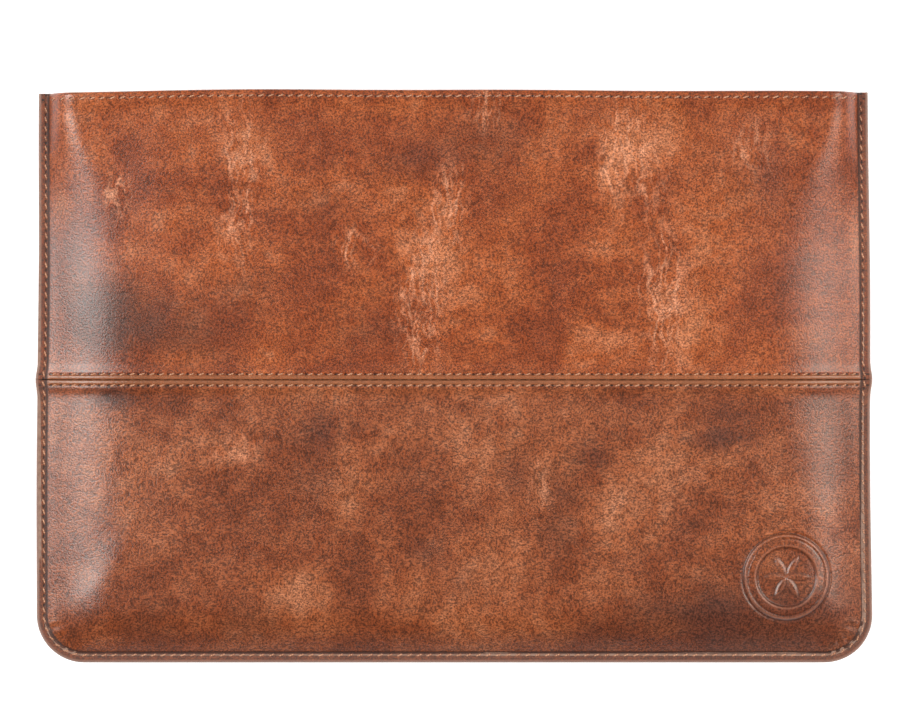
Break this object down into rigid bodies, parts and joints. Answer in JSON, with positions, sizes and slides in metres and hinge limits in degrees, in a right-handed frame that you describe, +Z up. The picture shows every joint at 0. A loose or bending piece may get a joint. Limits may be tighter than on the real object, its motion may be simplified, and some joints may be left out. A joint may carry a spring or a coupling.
{
  "type": "laptop sleeve",
  "caption": "Padded leather laptop sleeve: slip-in pocket open along one long edge, pieced front with topstitched cross seam, lined, with stitched flat margins.",
  "frame": {"origin": "middle of the sleeve's underside, on the surface that it lies on", "axes": "+X along the mouth to the right of the front face, +Y from the bottom seam out of the mouth, +Z up through the thickness, out of the front face"},
  "size_m": [0.3398, 0.232, 0.0241],
  "materials": {
    "waxed_leather_upper": "waxed pull-up full grain, cognac, mottled, satin",
    "waxed_leather_lower": "waxed pull-up full grain, darker brown, mottled, satin",
    "padding_foam": "closed-cell foam sheet",
    "lining_cloth": "brushed microfibre, matt",
    "woven_tape": "woven cotton tape",
    "tan_thread": "bonded waxed sewing thread",
    "edge_paint": "satin edge paint, rounded"
  },
  "bodies": {
    "back_wall": {"back_panel": "waxed_leather_lower", "back_padding": "padding_foam", "back_lining": "lining_cloth", "back_mouth_stay_tape": "woven_tape", "back_mouth_needle_thread": "tan_thread", "back_mouth_bobbin_thread": "tan_thread", "perimeter_bobbin_thread": "tan_thread", "edge_coating": "edge_paint"},
    "front_wall": {"front_upper_panel": "waxed_leather_upper", "front_lower_panel": "waxed_leather_lower", "front_padding": "padding_foam", "front_lining": "lining_cloth", "front_mouth_stay_tape": "woven_tape", "front_mouth_needle_thread": "tan_thread", "front_mouth_bobbin_thread": "tan_thread", "cross_seam_upper_needle_thread": "tan_thread", "cross_seam_upper_bobbin_thread": "tan_thread", "cross_seam_lower_needle_thread": "tan_thread", "cross_seam_lower_bobbin_thread": "tan_thread", "cross_seam_joining_thread": "tan_thread", "perimeter_needle_thread": "tan_thread"}
  },
  "joints": [
    {"name": "mouth_opening", "type": "hinge", "parent": "back_wall", "child": "front_wall", "pos_m": [0, -0.116, 0.0136], "axis": [1, 0, 0], "range_deg": [0, 4.5], "stiffness_Nm_per_rad": 0.6}
  ]
}
